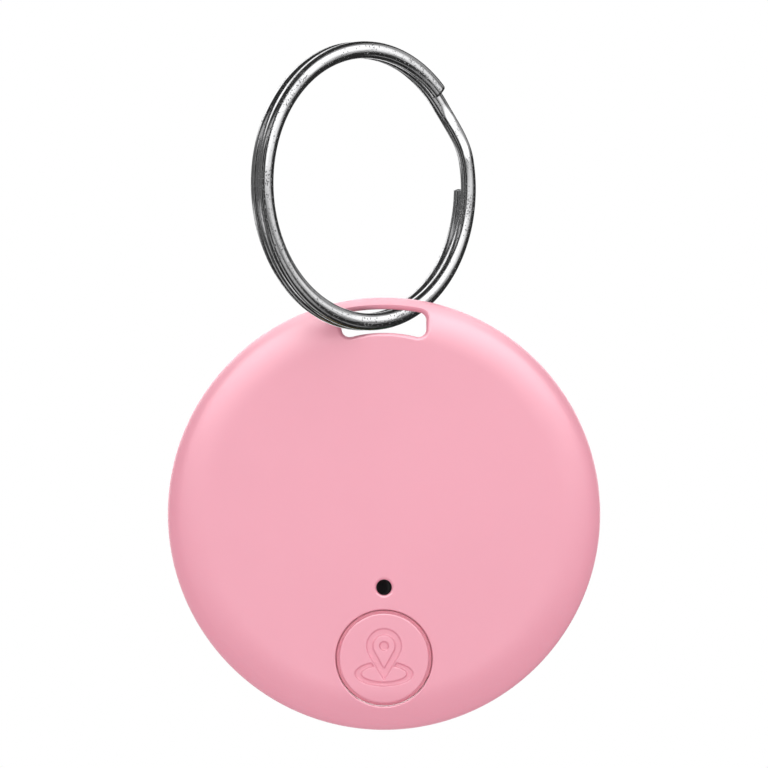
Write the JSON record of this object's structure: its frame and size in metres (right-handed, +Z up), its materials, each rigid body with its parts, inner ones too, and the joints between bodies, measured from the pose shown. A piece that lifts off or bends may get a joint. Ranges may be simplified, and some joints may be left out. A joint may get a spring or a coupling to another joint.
{
  "type": "bluetooth tracker tag",
  "caption": "Round pink tracker tag with a lanyard bar, a press button below a small light window, a battery cover and a split key ring through its slot.",
  "frame": {"origin": "centre of the tag's flat rear face, on the battery cover", "axes": "+Z up, from the tag towards the key ring; the button face looks along -Y; +Y leaves the rear face"},
  "size_m": [0.0376, 0.0178, 0.0597],
  "materials": {
    "pink_shell": "satin",
    "smoked_window": "gloss",
    "black_plastic": "matte",
    "black_foam": "matte",
    "seal_rubber": "satin",
    "board_laminate": "satin",
    "chip_epoxy": "satin",
    "plated_steel": "satin",
    "gold_plate": "gloss",
    "buzzer_brass": "satin",
    "white_ceramic": "satin",
    "tan_ceramic": "matte",
    "ferrite": "matte",
    "led_lens": "gloss",
    "red_lead": "satin",
    "black_lead": "satin",
    "ring_chrome": "polished",
    "gasket_nylon": "satin",
    "cell_filling": "matte"
  },
  "bodies": {
    "ring": {"split_ring": "ring_chrome"},
    "tag": {"front_shell": "pink_shell", "light_window": "smoked_window", "circuit_board": "board_laminate", "board_holder": "black_plastic", "radio_chip": "chip_epoxy", "crystal": "plated_steel", "status_led": "led_lens", "chip_resistors": "chip_epoxy", "chip_capacitors": "tan_ceramic", "chip_inductor": "ferrite", "antenna_trace": "gold_plate", "test_pads": "gold_plate", "switch_base": "black_plastic", "switch_dome": "plated_steel", "switch_plate": "plated_steel", "buzzer_plate": "buzzer_brass", "buzzer_ceramic": "white_ceramic", "buzzer_glue_ring": "black_foam", "buzzer_wire_red": "red_lead", "buzzer_wire_black": "black_lead", "positive_contact": "gold_plate", "negative_contact": "gold_plate"},
    "button": {"button_cap": "pink_shell"},
    "plunger": {"switch_plunger": "black_plastic"},
    "cover": {"rear_cover": "pink_shell", "sealing_ring": "seal_rubber", "cover_pad": "black_foam"},
    "cell": {"cell_can": "plated_steel", "cell_cap": "plated_steel", "cell_gasket": "gasket_nylon", "cell_pellet": "cell_filling"}
  },
  "joints": [
    {"name": "ring_turn", "type": "hinge", "parent": "ring", "child": "tag", "pos_m": [-0.00164, -0.00798, 0.02836], "axis": [0.6691, -0.7431, 0], "continuous": true},
    {"name": "button_press", "type": "slide", "parent": "tag", "child": "button", "axis": [0, 1, 0], "range_m": [0, 0.00025], "stiffness_N_per_m": 4000},
    {"name": "plunger_press", "type": "slide", "parent": "tag", "child": "plunger", "axis": [0, 1, 0], "range_m": [0, 0.00025], "deforming": ["switch_dome"]},
    {"name": "cover_off", "type": "slide", "parent": "tag", "child": "cover", "axis": [0, 1, 0], "range_m": [0, 0.014]},
    {"name": "cell_out", "type": "slide", "parent": "tag", "child": "cell", "axis": [0, 1, 0], "range_m": [0, 0.007]}
  ],
  "couplings": [
    {"joint": "plunger_press", "follows": "button_press", "ratio": 1},
    {"joint": "cell_out", "follows": "cover_off", "ratio": 0.5}
  ]
}
